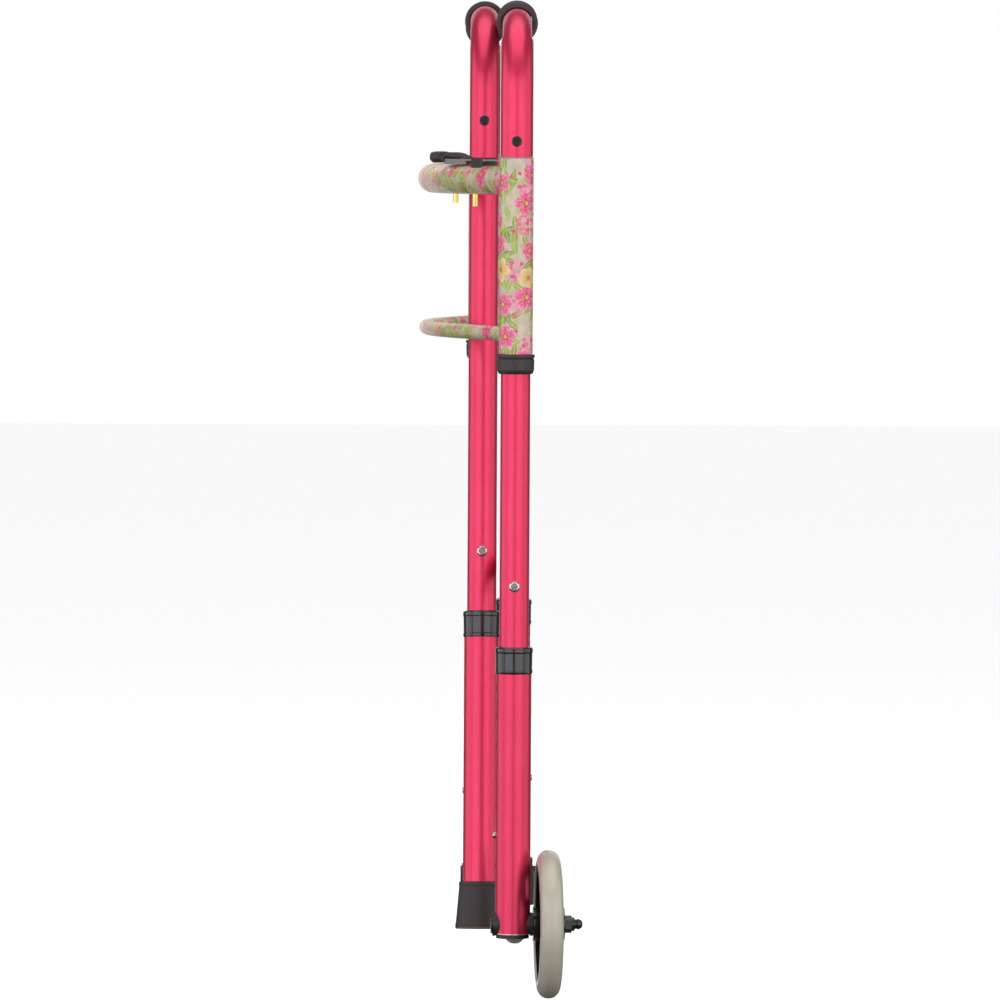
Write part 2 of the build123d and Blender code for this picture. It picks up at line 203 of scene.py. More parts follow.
def newGroup(name, inputs, outputs):
    group = bpy.data.node_groups.new(name, "ShaderNodeTree")
    for label, kind, value in inputs:
        socket = group.interface.new_socket(label, in_out="INPUT", socket_type="NodeSocket" + kind)
        if value is not None:
            socket.default_value = value
    for label, kind in outputs:
        group.interface.new_socket(label, in_out="OUTPUT", socket_type="NodeSocket" + kind)
    start, end = group.nodes.new("NodeGroupInput"), group.nodes.new("NodeGroupOutput")
    return group, start.outputs, end.inputs


def useGroup(tree, group, **inputs):
    made = tree.nodes.new("ShaderNodeGroup")
    made.node_tree = group
    for key, value in inputs.items():
        put(tree, made.inputs[key], value)
    return made.outputs


def newMaterial(name, **constants):
    material = bpy.data.materials.new(name)
    material.use_nodes = True
    shader = material.node_tree.nodes["Principled BSDF"]
    for key, value in constants.items():
        shader.inputs[key.replace("_", " ")].default_value = value
    return material, material.node_tree, shader


def objectPlace(tree):
    return node(tree, "TexCoord").outputs["Object"]


def makeMottle():
    # soft patches between 0 and 1 and a fine grain height, both from noise
    group, given, result = newGroup(
        "mottle", [("Place", "Vector", None), ("Patch size", "Float", 0.02), ("Grain size", "Float", 0.0006)],
        [("Patch", "Float"), ("Grain", "Float")])
    patchScale = sums(group, "DIVIDE", 1.0, given["Patch size"])
    grainScale = sums(group, "DIVIDE", 1.0, given["Grain size"])
    patch = node(group, "TexNoise", None, Vector=given["Place"], Scale=patchScale, Detail=4.0)
    grain = node(group, "TexNoise", None, Vector=given["Place"], Scale=grainScale, Detail=2.0)
    put(group, result["Patch"], ranged(group, patch.outputs[0], 0.3, 0.7, 0.0, 1.0))
    put(group, result["Grain"], grain.outputs[0])
    return group


def makeDrawnLines():
    # fine noise, drawn out into long streaks along a direction in which Stretch is small
    group, given, result = newGroup(
        "drawnLines",
        [("Place", "Vector", None), ("Stretch", "Vector", (1, 1, 0.02)), ("Fineness", "Float", 1600.0)],
        [("Lines", "Float")])
    squeezed = vectors(group, "MULTIPLY", given["Place"], given["Stretch"])
    noise = node(group, "TexNoise", None, Vector=squeezed, Scale=given["Fineness"], Detail=3.0)
    put(group, result["Lines"], noise.outputs[0])
    return group


scuffMarks = {"bendScale": 90.0, "scratchScale": 55.0, "scratchWidth": 0.012, "spotScale": 38.0,
              "spotFrom": 0.56, "spotTo": 0.66}


def makeScuffs():
    # short scattered scratches, and dust that gathers towards the ground
    group, given, result = newGroup(
        "scuffs", [("Place", "Vector", None), ("Amount", "Float", 0.3), ("Dust height", "Float", 0.05)],
        [("Scuff", "Float"), ("Dust", "Float")])
    bend = node(group, "TexNoise", None, Vector=given["Place"], Scale=scuffMarks["bendScale"], Detail=6.0)
    bent = vectors(group, "ADD", given["Place"], bend.outputs[1])
    thin = node(group, "TexVoronoi", {"feature": "DISTANCE_TO_EDGE"}, Vector=bent,
                Scale=scuffMarks["scratchScale"])
    line = ranged(group, thin.outputs["Distance"], 0.0, scuffMarks["scratchWidth"], 1.0, 0.0)
    where = node(group, "TexNoise", None, Vector=given["Place"], Scale=scuffMarks["spotScale"], Detail=1.0)
    spot = ranged(group, where.outputs[0], scuffMarks["spotFrom"], scuffMarks["spotTo"], 0.0, 1.0)
    put(group, result["Scuff"], sums(group, "MULTIPLY", sums(group, "MULTIPLY", line, spot), given["Amount"]))
    height = node(group, "SeparateXYZ", None, Vector=given["Place"]).outputs["Z"]
    low = sums(group, "SUBTRACT", 1.0, sums(group, "DIVIDE", height, given["Dust height"]), clamp=True)
    put(group, result["Dust"], sums(group, "MULTIPLY", low, where.outputs[0]))
    return group


floral = {
    "ground": linear(212, 200, 172), "groundShade": linear(194, 180, 152),
    "pinkRamp": [(0.0, linear(246, 196, 40)), (0.15, linear(214, 178, 40)), (0.19, linear(198, 26, 92)),
                 (0.45, linear(228, 44, 112)), (0.78, linear(238, 84, 142)), (1.0, linear(246, 150, 186))],
    "yellowRamp": [(0.0, linear(206, 66, 96)), (0.16, linear(208, 110, 60)), (0.2, linear(214, 160, 52)),
                   (0.55, linear(224, 190, 88)), (1.0, linear(236, 214, 138))],
    "leafDark": linear(128, 152, 40), "leafLight": linear(180, 196, 86), "leafRib": linear(222, 226, 170),
    "bud": linear(228, 60, 122), "blossomRim": linear(246, 176, 204), "petalStreak": linear(246, 214, 222),
    "flowerPitch": 0.0275, "flowerRadius": 0.0112, "flowerFrom": 0.1, "yellowFrom": 0.66,
    "raggedness": 0.0028, "heart": 0.2, "streakFrom": 0.22, "gapDepth": 0.34,
    "leafPitch": 0.0105, "leafLength": 0.0072, "leafWidth": 0.0026, "ribWidth": 0.0002,
    "leafLayers": ((0.53, 0.42), (0.87, 0.55)),  # shift of each layer, and the share of its leaves left out
    "sprayPitch": 0.036, "sprayLength": 0.023, "bladeWidth": 0.0017, "blades": 13, "fanFrom": 0.25,
    "bladeMiddle": 0.0009,
    "clumpPitch": 0.034, "clumpRadius": 0.0098, "clumpFrom": 0.35, "clumpSoft": 0.001,
    "blossomPitch": 0.0041, "blossomRadius": 0.0022, "blossomHeart": 0.0003,
    "budPitch": 0.0095, "budRadius": 0.0019, "budFrom": 0.74,
    "stemPitch": 0.019, "stemWidth": 0.00032, "soft": 0.00022,
    "barShift": 3.0,  # so that the bars show another part of the print than the sleeves
    "rimGap": 0.0012, "rimColour": linear(150, 140, 134),
}
filmCoat = {"Coat_Roughness": 0.16, "IOR": 1.5, "Coat_Weight": 0.35}


def scatter(tree, place, pitch, shift, jitter):
    # one motif in each cell of an uneven grid: angle and distance from its middle, and three random numbers
    moved = vectors(tree, "ADD", place, (shift, shift * 0.7, 0))
    cells = node(tree, "TexVoronoi", {"voronoi_dimensions": "2D"}, Vector=moved, Scale=1 / pitch,
                 Randomness=jitter)
    offset = vectors(tree, "SUBTRACT", moved, cells.outputs["Position"])
    xy = node(tree, "SeparateXYZ", None, Vector=offset).outputs
    luck = node(tree, "SeparateColor", None, Color=cells.outputs["Color"]).outputs
    turn = sums(tree, "MULTIPLY", luck[0], 2 * math.pi)
    angle = sums(tree, "ADD", sums(tree, "ARCTAN2", xy["Y"], xy["X"]), turn)
    return angle, vectors(tree, "LENGTH", offset), luck


def inside(tree, limit, value, soft):
    # 1 where value is under limit, 0 where it is over, with an edge soft wide
    depth = sums(tree, "DIVIDE", sums(tree, "SUBTRACT", limit, value), soft)
    return sums(tree, "ADD", depth, 0.5, clamp=True)


def petalEdge(tree, angle, count, radius, depth):
    # radius * (1 - depth + depth * lobe), where lobe = sqrt(abs(cos(count * angle / 2)))
    wave = sums(tree, "COSINE", sums(tree, "MULTIPLY", angle, count / 2))
    lobe = sums(tree, "SQRT", sums(tree, "ABSOLUTE", wave))
    reach = sums(tree, "ADD", sums(tree, "MULTIPLY", lobe, depth), 1 - depth)
    return sums(tree, "MULTIPLY", radius, reach), lobe


def makeFloralPrint():
    group, given, result = newGroup("floralPrint", [("Place", "Vector", None)], [("Colour", "Color")])
    place, soft = given["Place"], floral["soft"]
    noise = node(group, "TexNoise", None, Vector=place, Scale=140.0, Detail=3.0).outputs[0]
    washy = ranged(group, noise, 0.35, 0.65, 0.0, 1.0)
    colour = mixed(group, washy, floral["ground"], floral["groundShade"])

    # stems along the borders of large cells, broken by noise
    edges = node(group, "TexVoronoi", {"voronoi_dimensions": "2D", "feature": "DISTANCE_TO_EDGE"},
                 Vector=place, Scale=1 / floral["stemPitch"])
    apart = sums(group, "MULTIPLY", edges.outputs["Distance"], floral["stemPitch"])
    breaks = node(group, "TexNoise", None, Vector=place, Scale=70.0).outputs[0]
    stem = sums(group, "MULTIPLY", inside(group, floral["stemWidth"], apart, soft),
                ranged(group, breaks, 0.48, 0.54, 0.0, 1.0))
    colour = mixed(group, stem, colour, floral["leafLight"])

    # sprays of long blades: a fan of spindles about the cell's middle
    angle, distance = scatter(group, place, floral["sprayPitch"], 0.31, 0.75)[:2]
    blades = floral["blades"]
    swing = sums(group, "ABSOLUTE", sums(group, "SINE", sums(group, "MULTIPLY", angle, blades / 2)))
    sideways = sums(group, "MULTIPLY", sums(group, "MULTIPLY", distance, 2 / blades), swing)
    reach = sums(group, "DIVIDE", distance, floral["sprayLength"], clamp=True)
    bulge = sums(group, "SINE", sums(group, "MULTIPLY", reach, math.pi))
    width = sums(group, "MULTIPLY", bulge, floral["bladeWidth"])
    fan = sums(group, "GREATER_THAN", sums(group, "COSINE", angle), floral["fanFrom"])
    spray = sums(group, "MULTIPLY", inside(group, width, sideways, soft), fan)
    spray = sums(group, "MULTIPLY", spray, inside(group, floral["sprayLength"], distance, soft))
    outward = ranged(group, sideways, 0.0, floral["bladeMiddle"], 0.0, 1.0)
    bladeColour = mixed(group, outward, floral["leafLight"], floral["leafDark"])
    colour = mixed(group, spray, colour, bladeColour)

    # leaves: abs(y) under width * (1 - (x / length) squared), turned at random
    for shift, leftOut in floral["leafLayers"]:
        angle, distance, luck = scatter(group, place, floral["leafPitch"], shift, 0.9)
        lengthwise = sums(group, "MULTIPLY", distance, sums(group, "COSINE", angle))
        x = sums(group, "DIVIDE", lengthwise, floral["leafLength"])
        y = sums(group, "ABSOLUTE", sums(group, "MULTIPLY", distance, sums(group, "SINE", angle)))
        width = sums(group, "MULTIPLY", sums(group, "SUBTRACT", 1.0, sums(group, "MULTIPLY", x, x)),
                     floral["leafWidth"])
        leaf = sums(group, "MULTIPLY", inside(group, width, y, soft),
                    sums(group, "GREATER_THAN", luck[2], leftOut))
        green = mixed(group, luck[1], floral["leafDark"], floral["leafLight"])
        green = mixed(group, sums(group, "MULTIPLY", washy, 0.6), green, floral["leafLight"])
        green = mixed(group, inside(group, floral["ribWidth"], y, soft), green, floral["leafRib"])
        colour = mixed(group, leaf, colour, green)

    # clumps of small five-petalled blossoms
    clumpDistance, clumpLuck = scatter(group, place, floral["clumpPitch"], 1.37, 0.8)[1:]
    angle, distance, luck = scatter(group, place, floral["blossomPitch"], 1.11, 0.55)
    edge = petalEdge(group, angle, 5, floral["blossomRadius"], 0.55)[0]
    blossom = sums(group, "MULTIPLY", inside(group, edge, distance, soft),
                   inside(group, floral["clumpRadius"], clumpDistance, floral["clumpSoft"]))
    blossom = sums(group, "MULTIPLY", blossom, sums(group, "GREATER_THAN", clumpLuck[2], floral["clumpFrom"]))
    pink = mixed(group, sums(group, "MULTIPLY", luck[1], 0.8), floral["bud"], floral["blossomRim"])
    pink = mixed(group, inside(group, floral["blossomHeart"], distance, soft), pink, floral["leafLight"])
    colour = mixed(group, blossom, colour, pink)

    # scattered buds
    angle, distance, luck = scatter(group, place, floral["budPitch"], 2.13, 0.9)
    edge = petalEdge(group, angle, 3, floral["budRadius"], 0.5)[0]
    bud = sums(group, "MULTIPLY", inside(group, edge, distance, soft),
               sums(group, "GREATER_THAN", luck[2], floral["budFrom"]))
    colour = mixed(group, bud, colour, floral["bud"])

    # open flowers, most of them pink and some yellow
    angle, distance, luck = scatter(group, place, floral["flowerPitch"], 0.19, 0.7)
    size = sums(group, "ADD", 0.7, sums(group, "MULTIPLY", luck[1], 0.35))
    radius = sums(group, "MULTIPLY", floral["flowerRadius"], size)
    edge, lobe = petalEdge(group, angle, 5, radius, 0.45)
    ragged = sums(group, "MULTIPLY", sums(group, "SUBTRACT", noise, 0.5), floral["raggedness"])
    away = sums(group, "ADD", distance, ragged)
    share = sums(group, "DIVIDE", distance, radius, clamp=True)
    isYellow = sums(group, "GREATER_THAN", luck[2], floral["yellowFrom"])
    petal = mixed(group, isYellow, ramped(group, share, floral["pinkRamp"]),
                  ramped(group, share, floral["yellowRamp"]))
    turning = node(group, "CombineXYZ", None, X=sums(group, "MULTIPLY", angle, 4.0),
                   Y=sums(group, "MULTIPLY", distance, 160.0)).outputs[0]
    stroke = node(group, "TexNoise", None, Vector=turning, Scale=2.2, Detail=1.0).outputs[0]
    stroke = sums(group, "MULTIPLY", ranged(group, stroke, 0.56, 0.66, 0.0, 0.75),
                  sums(group, "GREATER_THAN", share, floral["streakFrom"]))
    petal = mixed(group, stroke, petal, floral["petalStreak"])
    between = sums(group, "MULTIPLY", inside(group, floral["gapDepth"], lobe, 0.12),
                   sums(group, "GREATER_THAN", share, floral["heart"]))
    petal = mixed(group, sums(group, "MULTIPLY", between, 0.8), petal, floral["ground"])
    flower = sums(group, "MULTIPLY", inside(group, edge, away, soft),
                  sums(group, "GREATER_THAN", luck[2], floral["flowerFrom"]))
    colour = mixed(group, flower, colour, petal)

    put(group, result["Colour"], colour)
    return group


mottle, drawnLines, scuffs, floralPrint = makeMottle(), makeDrawnLines(), makeScuffs(), makeFloralPrint()
print("shared effects made")


# the bare metal colour serves the scuffs and the sawn end, where it is also a painted highlight on the lower rim
pinkTube = {"colour": linear(226, 54, 94), "deep": linear(216, 42, 80), "bareAndLitRim": linear(214, 208, 206),
            "metallic": 0.74, "roughness": (0.38, 0.47), "bump": 0.02, "coat": 0.35}


def makePinkTube(name, stretch, cutZ=None):
    # dyed aluminium: fine lines change the roughness, broad patches change the depth of the dye
    material, tree, shader = newMaterial(name, Coat_Weight=pinkTube["coat"], Coat_Roughness=0.22, IOR=1.45,
                                         Metallic=pinkTube["metallic"])
    place = objectPlace(tree)
    lines = useGroup(tree, drawnLines, Place=place, Stretch=stretch)["Lines"]
    patch = useGroup(tree, mottle, Place=place, **{"Patch size": 0.09})["Patch"]
    colour = mixed(tree, sums(tree, "MULTIPLY", patch, 0.35), pinkTube["colour"], pinkTube["deep"])
    scuff = useGroup(tree, scuffs, Place=place, Amount=0.25)["Scuff"]
    colour = mixed(tree, scuff, colour, pinkTube["bareAndLitRim"])
    if cutZ is not None:  # the sawn lower end shows bare metal, in a light band that is also a painted highlight on the tube's lower rim
        height = node(tree, "SeparateXYZ", None, Vector=place).outputs["Z"]
        # painted highlight: the light band at the lower rim stands in for light catching the rim, as well as for
        # bare metal
        bareAndLitRim = inside(tree, cutZ + 0.0007, height, 0.0003)
        colour = mixed(tree, bareAndLitRim, colour, pinkTube["bareAndLitRim"])
    put(tree, shader.inputs["Base Color"], colour)
    put(tree, shader.inputs["Roughness"], ranged(tree, lines, 0.3, 0.7, *pinkTube["roughness"]))
    bump = node(tree, "Bump", None, Strength=pinkTube["bump"], Distance=0.0005, Height=lines)
    put(tree, shader.inputs["Normal"], bump.outputs[0])
    return material


def makeFloralSleeve(side):
    # the film's own coordinates: distance round the sleeve, and height
    material, tree, shader = newMaterial(f"{side}FloralSleeve", **filmCoat)
    low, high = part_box(f"{side}_pivot_sleeve")
    radius = (high.x - low.x) / 2
    centre = tuple(-v for v in (*pivotAt[side][:2], 0))
    local = node(tree, "Mapping", None, Vector=objectPlace(tree), Location=centre)
    xyz = node(tree, "SeparateXYZ", None, Vector=local.outputs[0]).outputs
    around = sums(tree, "MULTIPLY", sums(tree, "ARCTAN2", xyz["Y"], xyz["X"]), radius)
    film = node(tree, "CombineXYZ", None, X=around, Y=xyz["Z"]).outputs[0]
    return finishFloral(material, tree, shader, film, high.z)


def makeFloralBar(name):
    # the film's own coordinates on a bowed bar: distance round it, and distance along its arc
    material, tree, shader = newMaterial(name + "Film", **filmCoat)
    low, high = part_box(name)
    tubeRadius, centreZ = (high.z - low.z) / 2, (high.z + low.z) / 2
    half, bow = pivotAt["near"][0], pivotAt["near"][1] - (low.y + tubeRadius)
    lean = math.acos(abs(alongBar["near"][0]))
    gain = (1 - math.cos(lean)) / math.sin(lean)
    straight = (bow - half * gain) / (math.tan(lean) - gain)
    arcRadius = (half - straight) / math.sin(lean)
    centreY = low.y + tubeRadius + arcRadius
    local = node(tree, "Mapping", None, Vector=objectPlace(tree), Location=(0, -centreY, -centreZ))
    xyz = node(tree, "SeparateXYZ", None, Vector=local.outputs[0]).outputs
    ahead = sums(tree, "MULTIPLY", xyz["Y"], -1.0)
    along = sums(tree, "MULTIPLY", sums(tree, "ARCTAN2", xyz["X"], ahead), arcRadius)
    squares = (sums(tree, "MULTIPLY", xyz["X"], xyz["X"]), sums(tree, "MULTIPLY", ahead, ahead))
    out = sums(tree, "SUBTRACT", sums(tree, "SQRT", sums(tree, "ADD", *squares)), arcRadius)
    around = sums(tree, "MULTIPLY", sums(tree, "ARCTAN2", xyz["Z"], out), tubeRadius)
    film = node(tree, "CombineXYZ", None, X=around, Y=sums(tree, "ADD", along, floral["barShift"])).outputs[0]
    return finishFloral(material, tree, shader, film)


def finishFloral(material, tree, shader, film, edgeZ=None):
    colour = useGroup(tree, floralPrint, Place=film)["Colour"]
    place = objectPlace(tree)
    soft = useGroup(tree, mottle, Place=place, **{"Patch size": 0.03})
    if edgeZ is not None:  # the film stops just short of the sleeve's rim
        height = node(tree, "SeparateXYZ", None, Vector=place).outputs["Z"]
        rim = inside(tree, height, edgeZ - floral["rimGap"], 0.0003)
        colour = mixed(tree, rim, colour, floral["rimColour"])
    put(tree, shader.inputs["Base Color"], colour)
    put(tree, shader.inputs["Roughness"], ranged(tree, soft["Patch"], 0.0, 1.0, 0.34, 0.46))
    bump = node(tree, "Bump", None, Strength=0.05, Distance=0.0003, Height=soft["Grain"])
    put(tree, shader.inputs["Normal"], bump.outputs[0])
    return material


plasticWear = {"scuff": linear(150, 146, 140), "scuffAmount": 0.45, "dust": linear(168, 150, 124)}


def makePlastic(name, colour, worn, rough, grainSize, bumpStrength, dust=0.0, coat=0.0):
    # plastic, rubber or blackened steel: fine grain, faint scuffs, and dust low down where it is asked for
    material, tree, shader = newMaterial(name, Coat_Roughness=0.12, IOR=1.5)
    place = objectPlace(tree)
    soft = useGroup(tree, mottle, Place=place, **{"Patch size": 0.012, "Grain size": grainSize})
    marks = useGroup(tree, scuffs, Place=place, Amount=plasticWear["scuffAmount"])
    tint = mixed(tree, sums(tree, "MULTIPLY", soft["Patch"], 0.35), colour, worn)
    tint = mixed(tree, marks["Scuff"], tint, plasticWear["scuff"])
    if dust:
        tint = mixed(tree, sums(tree, "MULTIPLY", marks["Dust"], dust), tint, plasticWear["dust"])
    put(tree, shader.inputs["Base Color"], tint)
    shader.inputs["Coat Weight"].default_value = coat
    put(tree, shader.inputs["Roughness"], ranged(tree, soft["Patch"], 0.0, 1.0, *rough))
    bump = node(tree, "Bump", None, Strength=bumpStrength, Distance=0.0004, Height=soft["Grain"])
    put(tree, shader.inputs["Normal"], bump.outputs[0])
    return material


def makeMetal(name, colour, tarnish, rough, metallic=1.0):
    # bare or plated metal: even fine noise in the roughness and soft tarnish in the colour
    material, tree, shader = newMaterial(name, Metallic=metallic)
    place = objectPlace(tree)
    lines = useGroup(tree, drawnLines, Place=place, Stretch=(1, 1, 1))["Lines"]
    soft = useGroup(tree, mottle, Place=place, **{"Patch size": 0.004})
    dulled = sums(tree, "MULTIPLY", soft["Patch"], 0.5)
    put(tree, shader.inputs["Base Color"], mixed(tree, dulled, colour, tarnish))
    put(tree, shader.inputs["Roughness"], ranged(tree, lines, 0.3, 0.7, *rough))
    bump = node(tree, "Bump", None, Strength=0.06, Distance=0.0003, Height=lines)
    put(tree, shader.inputs["Normal"], bump.outputs[0])
    return material


alongZ = (1, 1, 0.02)
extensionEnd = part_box("near_front_extension")[0].z
finishes = {
    "pink": makePinkTube("pinkTube", alongZ),
    "pinkLeg": makePinkTube("pinkLegTube", alongZ, extensionEnd),
    "pinkBrace": makePinkTube("pinkBraceTube", (0.02, 1, 1)),
    "glossBlack": makePlastic("glossBlack", linear(22, 20, 20), linear(34, 31, 30), (0.16, 0.26), 0.0012,
                              0.03, coat=0.5),
    "matteBlack": makePlastic("matteBlack", linear(44, 40, 38), linear(60, 55, 51), (0.42, 0.55), 0.0005,
                              0.12),
    "grip": makePlastic("gripVinyl", linear(48, 43, 40), linear(68, 61, 56), (0.38, 0.5), 0.0004, 0.16),
    "tyre": makePlastic("greyTyre", linear(190, 186, 168), linear(176, 170, 150), (0.30, 0.4), 0.0007, 0.05,
                        dust=0.25, coat=0.35),
    "nylon": makePlastic("nylon", linear(226, 224, 214), linear(212, 206, 190), (0.35, 0.45), 0.0006, 0.05),
    "darkSteel": makePlastic("darkSteel", linear(26, 24, 24), linear(48, 45, 44), (0.2, 0.34), 0.0008, 0.05,
                             coat=0.3),
    "brightSteel": makeMetal("brightSteel", linear(206, 200, 190), linear(176, 168, 154), (0.14, 0.26)),
    "latchSteel": makeMetal("latchSteel", linear(176, 168, 164), linear(148, 140, 136), (0.28, 0.42), 0.45),
    "brass": makeMetal("brass", linear(246, 216, 118), linear(214, 172, 70), (0.12, 0.22)),
}
print("finishes made")


nodeFinish = {
    "side_tube": "pink", "post_sleeve": "pink", "side_brace": "pinkBrace", "front_extension": "pinkLeg",
    "rear_extension": "pink", "pivot_bushes": "nylon", "wheel_bushes": "nylon", "latch_guide": "matteBlack",
    "brace_rivets": "brightSteel", "hole_plugs": "glossBlack", "end_plug": "matteBlack",
    "axle_bolt": "darkSteel", "axle_saddles": "matteBlack", "axle_nut": "darkSteel",
    "wheel_rim": "glossBlack", "latch_slide": "latchSteel", "latch_pin": "brass",
    "front_snap_button": "brightSteel", "rear_snap_button": "brightSteel",
}


def dress(name, material):
    for slot in nodes[name].material_slots:
        slot.material = material


for side in sides:
    for part, finish in nodeFinish.items():
        dress(f"{side}_{part}", finishes[finish])
    dress(f"{side}_pivot_sleeve", makeFloralSleeve(side))
for name in ("upper_crossbar", "lower_crossbar"):
    dress(name, makeFloralBar(name))
print("frame dressed")


grip = {"tubeRadius": 0.01275, "bodyRadius": 0.0156, "flangeRadius": 0.0178, "length": 0.150, "rise": 1.55,
        "flangeWidth": 0.005, "ribs": 46, "ribHeight": 0.00022, "fingers": 4, "fingerDepth": 0.0007}


def makeGrip(side):
    # radius = body - finger waves under the hand + fine ribs, over the length between the flanges
    length, body, flange = grip["length"], grip["bodyRadius"], grip["flangeRadius"]
    margin = 0.004  # plain part of the body beside each flange
    rise = math.radians(grip["rise"])
    axis = unit(acrossFrame[side] * math.cos(rise) + upright * math.sin(rise))
    start = middle(f"{side}_handgrip") - axis * length / 2
    inner, wide = grip["tubeRadius"], grip["flangeWidth"]
    ends = softened([(inner, 0), (flange, 0), (flange, wide), (body, wide + 0.003)], 0.0016, 6)
    firstEnd = ends[:-3]
    heights = np.linspace(wide + margin, length - wide - margin, 460)
    barrel = np.stack([np.full_like(heights, body), heights], 1)
    secondEnd = firstEnd[::-1] * (1, -1) + (0, length)
    outline = np.concatenate([firstEnd, barrel, secondEnd])

    def shaped(radius, height, a):
        t = (height - wide - margin) / (length - 2 * wide - 2 * margin)
        on = np.clip(t * 12, 0, 1) * np.clip((1 - t) * 12, 0, 1) * (radius > inner + 0.001)
        under = 0.5 - 0.5 * np.cos(a)
        waves = grip["fingerDepth"] * (0.5 - 0.5 * np.cos(2 * math.pi * grip["fingers"] * t)) * under
        ribs = grip["ribHeight"] * np.maximum(0, np.cos(2 * math.pi * grip["ribs"] * t)) ** 2
        return radius - on * waves + on * ribs

    grid = turnedGrid(outline, start, axis, 72, shaped)
    return gridPiece(f"{side}HandGrip", grid, f"{side}_side_frame", [f"{side}_handgrip"],
                     finishes["grip"])


collar = {"outer": 0.01625, "bore": 0.01305, "tubeOuter": 0.0151, "length": 0.0229, "lipDepth": 0.002}


def makeLegCollar(side, end):
    # glossy sleeve over the outer tube's mouth: flared foot, straight body, lip turned in to the inner tube
    axis = upright if end == "front" else legUp[side]
    length, outer = collar["length"], collar["outer"]
    start = middle(f"{side}_{end}_collar") - axis * length / 2
    hollow = collar["tubeOuter"] + 0.00002
    outline = softened([(hollow, 0), (outer - 0.0005, 0), (outer - 0.0001, 0.0026), (outer - 0.0006, 0.0036),
                        (outer - 0.0004, length - 0.005), (outer, length - 0.0042), (outer, length - 0.0012),
                        (outer - 0.0012, length), (collar["bore"], length),
                        (collar["bore"], length - collar["lipDepth"]), (hollow, length - collar["lipDepth"])],
                       0.0006, 5)
    grid = turnedGrid(outline, start, axis, 96)
    return gridPiece(f"{side}{end.title()}Collar", grid, f"{side}_{end}_leg",
                     [f"{side}_{end}_collar"], finishes["glossBlack"])


pivotCollar = {"outer": 0.0163, "bore": 0.01272, "groove": 0.0006}


def makePivotCollar(side):
    # stop ring under the sleeve: drafted skirt, shallow groove, square rim at its top
    low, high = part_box(f"{side}_pivot_collar")
    tall, outer, bore = high.z - low.z, pivotCollar["outer"], pivotCollar["bore"]
    groove = pivotCollar["groove"]
    outline = softened([(bore, 0), (outer - 0.0018, 0), (outer - 0.0005, 0.0032),
                        (outer - 0.0003, tall - 0.0042), (outer - 0.0003 - groove, tall - 0.0038),
                        (outer - 0.0003 - groove, tall - 0.0030),
                        (outer, tall - 0.0026), (outer, tall), (bore, tall)], 0.0005, 5)
    start = np.array((*pivotAt[side][:2], low.z))
    grid = turnedGrid(outline, start, upright, 96)
    return gridPiece(f"{side}PivotCollar", grid, f"{side}_side_frame",
                     [f"{side}_pivot_collar"], finishes["matteBlack"])


tip = {"foot": 0.0214, "top": 0.0184, "tubeOuter": 0.01512, "height": 0.041, "floor": 0.0078,
       "ringDepth": 0.0008, "wornHeight": 0.0016}


def makeRubberTip(side):
    # tapered boot with a rolled top lip and rings cut in its sole
    foot, top, tall = tip["foot"], tip["top"], tip["height"]
    dip = tip["ringDepth"]
    boot = [(tip["tubeOuter"], tall), (top, tall), (top + 0.0001, tall - 0.003),
            (top - 0.0002, tall - 0.0038), (foot - 0.0004, 0.0052), (foot, 0.0046), (foot, 0.0006),
            (foot - 0.0006, 0)]
    soleRings = [(0.0165, 0), (0.0161, dip), (0.0141, dip), (0.0137, 0), (0.0098, 0), (0.0094, dip),
                 (0.0074, dip), (0.0070, 0), (0, 0)]
    hollow = [(0, tip["floor"]), (tip["tubeOuter"], tip["floor"])]
    outline = softened(boot + soleRings + hollow, 0.0005, 4)
    outline[:, 0] = np.maximum(outline[:, 0], 0)
    start = np.array(mounts[f"{side}_foot"]["pos_m"])
    grid = turnedGrid(outline, start, legUp[side], 96)
    return gridPiece(f"{side}RubberTip", grid, f"{side}_rear_leg", [f"{side}_rubber_tip"],
                     makeTipRubber(side, start))


def makeTipRubber(side, start):
    # dark rubber whose lower edge is scuffed brown
    material, tree, shader = newMaterial(f"{side}TipRubber", IOR=1.5)
    place = objectPlace(tree)
    soft = useGroup(tree, mottle, Place=place, **{"Patch size": 0.010, "Grain size": 0.0004})
    height = vectors(tree, "DOT_PRODUCT", vectors(tree, "SUBTRACT", place, tuple(start)), tuple(legUp[side]))
    dark = mixed(tree, sums(tree, "MULTIPLY", soft["Patch"], 0.5), linear(48, 44, 40), linear(64, 58, 53))
    worn = inside(tree, tip["wornHeight"], sums(tree, "ADD", height, sums(
        tree, "MULTIPLY", soft["Grain"], 0.0010)), 0.0008)
    put(tree, shader.inputs["Base Color"], mixed(tree, worn, dark, linear(132, 104, 72)))
    put(tree, shader.inputs["Roughness"], ranged(tree, soft["Patch"], 0.0, 1.0, 0.5, 0.66))
    bump = node(tree, "Bump", None, Strength=0.18, Distance=0.0004, Height=soft["Grain"])
    put(tree, shader.inputs["Normal"], bump.outputs[0])
    return material


tyre = {"outer": 0.0635, "rimRadius": 0.0500, "halfWidth": 0.0100, "crown": 0.78, "shoulder": 0.9,
        "rimGap": 0.0004, "seamDepth": 0.00018, "seamAt": 0.0062, "seamWidth": 0.0003}


